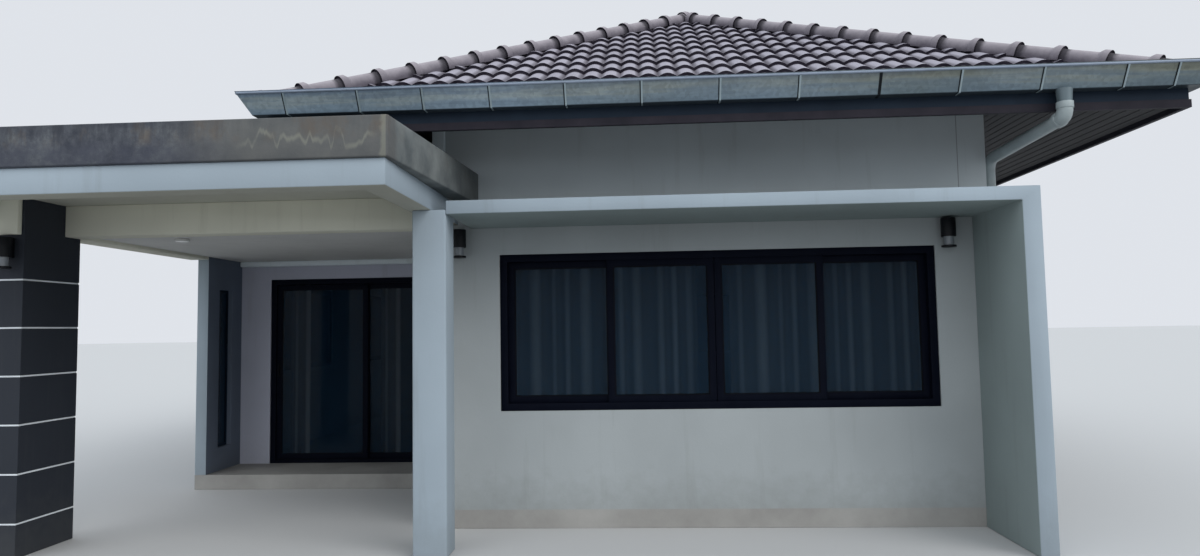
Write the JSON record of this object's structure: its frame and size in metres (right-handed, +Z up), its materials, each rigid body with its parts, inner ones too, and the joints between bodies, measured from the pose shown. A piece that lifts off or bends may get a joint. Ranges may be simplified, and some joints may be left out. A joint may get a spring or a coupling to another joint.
{
  "type": "bungalow",
  "caption": "Single-storey hip-roofed bungalow with a projecting front wing, a framed wide window, and a flat concrete carport canopy beside it in front of a sliding porch door.",
  "frame": {"origin": "centre of the bounding box in plan, at ground level", "axes": "+Z up, -Y towards the street front, +X to the right seen from the street"},
  "size_m": [9.87, 12.47, 5.8542],
  "materials": {
    "floor_concrete": "smooth cement screed",
    "white_plaster": "painted plaster, cool white",
    "beige_plaster": "painted plaster, warm off-white",
    "charcoal_plaster": "dark grey painted plaster",
    "roof_tile": "mauve-brown concrete tile",
    "soffit_board": "dark stained boards",
    "fascia_paint": "painted board",
    "galvanised_steel": "galvanised sheet",
    "pipe_plastic": "weathered pale pipe",
    "bare_concrete": "weathered bare concrete",
    "ceiling_board": "painted flat board",
    "black_aluminium": "black powder coat",
    "dark_glass": "grey tinted",
    "black_metal": "black satin paint",
    "frosted_glass": "frosted white",
    "rail_metal": "painted",
    "curtain_cloth": "light woven cloth"
  },
  "bodies": {
    "house": {"house_floor": "floor_concrete", "porch_floor": "floor_concrete", "front_wall": "white_plaster", "right_wall": "white_plaster", "back_wall": "white_plaster", "left_wall": "white_plaster", "wing_left_wall": "white_plaster", "porch_wall_left": "beige_plaster", "porch_wall_right": "beige_plaster", "porch_wall_over_door": "beige_plaster", "porch_side_wall": "charcoal_plaster", "roof_tiles_front": "roof_tile", "roof_tiles_right": "roof_tile", "roof_tiles_back": "roof_tile", "roof_tiles_left": "roof_tile", "roof_tiles_porch": "roof_tile", "roof_tiles_wing_left": "roof_tile", "roof_deck": "soffit_board", "ridge_caps": "roof_tile", "fascia_boards": "fascia_paint", "gutters": "galvanised_steel", "downpipe": "pipe_plastic", "carport_slab": "beige_plaster", "carport_edge_beam": "white_plaster", "carport_upstand": "bare_concrete", "carport_front_beam": "beige_plaster", "carport_side_beam": "beige_plaster", "carport_end_beam": "beige_plaster", "carport_ceiling": "ceiling_board", "porch_cornice": "white_plaster", "ceiling_light": "frosted_glass", "carport_pillar": "charcoal_plaster", "carport_column": "white_plaster", "window_canopy": "white_plaster", "window_fin": "white_plaster", "upper_wall_strip": "white_plaster", "front_window_frame": "black_aluminium", "front_window_sashes": "black_aluminium", "front_window_glass": "dark_glass", "porch_door_frame": "black_aluminium", "fixed_door_leaf": "black_aluminium", "fixed_door_glass": "dark_glass", "slit_window": "black_aluminium", "side_window_frames": "black_aluminium", "side_window_glass": "dark_glass", "wall_lights": "black_metal", "wall_light_lenses": "frosted_glass", "curtain_rails": "rail_metal", "front_curtains": "curtain_cloth", "door_curtain": "curtain_cloth"},
    "door_leaf": {"sliding_door_leaf": "black_aluminium", "sliding_door_glass": "dark_glass"}
  },
  "joints": [
    {"name": "door_slide", "type": "slide", "parent": "house", "child": "door_leaf", "axis": [1, 0, 0], "range_m": [0, 1]}
  ]
}
